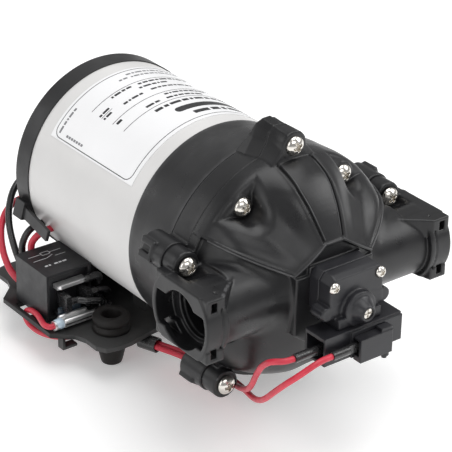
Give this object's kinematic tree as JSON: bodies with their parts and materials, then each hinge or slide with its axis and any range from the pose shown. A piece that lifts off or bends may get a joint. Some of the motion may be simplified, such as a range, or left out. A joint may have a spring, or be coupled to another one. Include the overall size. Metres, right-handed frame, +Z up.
{
  "type": "electric pump",
  "caption": "Diaphragm water pump with a round motor, domed head, two side ports, pressure switch and relay on a base plate with rubber feet.",
  "frame": {"origin": "floor level, centre of the rectangle of foot bolts", "axes": "+Z up along the foot bolts; +Y along the motor towards its rear cap, the pump head towards -Y; +X towards the outlet side port"},
  "size_m": [0.1426, 0.2215, 0.1404],
  "materials": {
    "alloy": "cast",
    "black_insulation": "satin",
    "black_rubber": "matt",
    "brass": "bright",
    "can_paint": "satin",
    "cap_plastic": "satin",
    "carbon": "matt",
    "copper": "enamelled",
    "drive_plastic": "satin",
    "foot_rubber": "matt",
    "housing_plastic": "satin",
    "label_film": "satin",
    "lamination_steel": "matt",
    "magnet": "matt",
    "plate_paint": "satin",
    "red_insulation": "satin",
    "relay_plastic": "satin",
    "screw_nickel": "bright",
    "sleeve_plastic": "satin",
    "steel": "ground",
    "switch_plastic": "satin",
    "tinned_metal": "bright",
    "valve_rubber": "matt",
    "white_plastic": "satin"
  },
  "bodies": {
    "pump": {"base_plate": "plate_paint", "brush_plate": "drive_plastic", "brush_spring_left": "steel", "brush_spring_right": "steel", "cover_screws": "screw_nickel", "diaphragm": "black_rubber", "drive_housing": "housing_plastic", "field_magnets": "magnet", "front_end_bell": "alloy", "front_housing": "housing_plastic", "ground_lead": "black_insulation", "head_screws": "screw_nickel", "head_seals": "valve_rubber", "inlet_valves": "valve_rubber", "lead_sleeve": "sleeve_plastic", "lead_splice": "sleeve_plastic", "loop_lead_black": "black_insulation", "loop_lead_red": "red_insulation", "motor_bolts": "steel", "motor_can": "can_paint", "motor_label": "label_film", "motor_lead_black": "black_insulation", "motor_lead_red": "red_insulation", "outlet_valve": "valve_rubber", "plug_shell": "switch_plastic", "pump_head": "housing_plastic", "rear_cap": "cap_plastic", "rear_end_bell": "alloy", "relay_base": "relay_plastic", "relay_case": "relay_plastic", "relay_coil": "copper", "relay_receptacles": "tinned_metal", "rubber_feet": "foot_rubber", "saddle_screws": "steel", "shaft_bearings": "steel", "snap_switch": "carbon", "switch_base": "switch_plastic", "switch_case": "switch_plastic", "switch_cover": "switch_plastic", "switch_diaphragm": "valve_rubber", "switch_lead_front": "red_insulation", "switch_lead_rear": "red_insulation", "switch_spades": "sleeve_plastic", "switch_spring": "steel", "valve_plate": "white_plastic"},
    "rotor": {"motor_shaft": "steel", "armature_core": "lamination_steel", "armature_windings": "copper", "commutator": "copper", "drive_cam": "alloy"},
    "wobble": {"cam_bearing": "steel", "wobble_plate": "drive_plastic", "pump_pistons": "white_plastic"},
    "brush_r": {"brush_right": "carbon"},
    "brush_l": {"brush_left": "carbon"},
    "plunger": {"switch_plunger": "white_plastic"},
    "button": {"switch_button": "carbon"},
    "adjuster": {"adjusting_screw": "screw_nickel"},
    "seat": {"spring_seat": "brass"},
    "armature": {"relay_armature": "steel"}
  },
  "joints": [
    {"name": "shaft_spin", "type": "hinge", "parent": "pump", "child": "rotor", "pos_m": [0, 0, 0.072], "axis": [0, 1, 0], "continuous": true},
    {"name": "wobble_turn", "type": "hinge", "parent": "rotor", "child": "wobble", "pos_m": [0, -0.08585, 0.072], "axis": [0, 0.9981, 0.061], "continuous": true, "deforming": ["diaphragm"]},
    {"name": "brush_right_slide", "type": "slide", "parent": "pump", "child": "brush_r", "axis": [1, 0, 0], "range_m": [0, 0.004], "stiffness_N_per_m": 40, "springref_m": -0.015, "deforming": ["brush_spring_right"]},
    {"name": "brush_left_slide", "type": "slide", "parent": "pump", "child": "brush_l", "axis": [-1, 0, 0], "range_m": [0, 0.004], "stiffness_N_per_m": 40, "springref_m": -0.015, "deforming": ["brush_spring_left"]},
    {"name": "plunger_slide", "type": "slide", "parent": "pump", "child": "plunger", "axis": [0, -1, 0], "range_m": [0, 0.001], "stiffness_N_per_m": 30, "springref_m": -0.004, "deforming": ["switch_spring"]},
    {"name": "button_slide", "type": "slide", "parent": "pump", "child": "button", "axis": [0, -1, 0], "range_m": [0, 0.001]},
    {"name": "adjust_turn", "type": "hinge", "parent": "pump", "child": "adjuster", "pos_m": [0, -0.1605, 0.0731], "axis": [0, -1, 0], "range_deg": [0, 1080]},
    {"name": "seat_slide", "type": "slide", "parent": "pump", "child": "seat", "axis": [0, 1, 0], "range_m": [0, 0.0021]},
    {"name": "relay_armature_tilt", "type": "hinge", "parent": "pump", "child": "armature", "pos_m": [-0.053, -0.00395, 0.03835], "axis": [1, 0, 0], "range_deg": [0, 3], "stiffness_Nm_per_rad": 0.002, "springref_deg": -5.73}
  ],
  "couplings": [
    {"joint": "wobble_turn", "follows": "shaft_spin", "ratio": -1},
    {"joint": "button_slide", "follows": "plunger_slide", "ratio": 1},
    {"joint": "adjust_turn", "follows": "seat_slide", "rad_per_m": 8976}
  ]
}
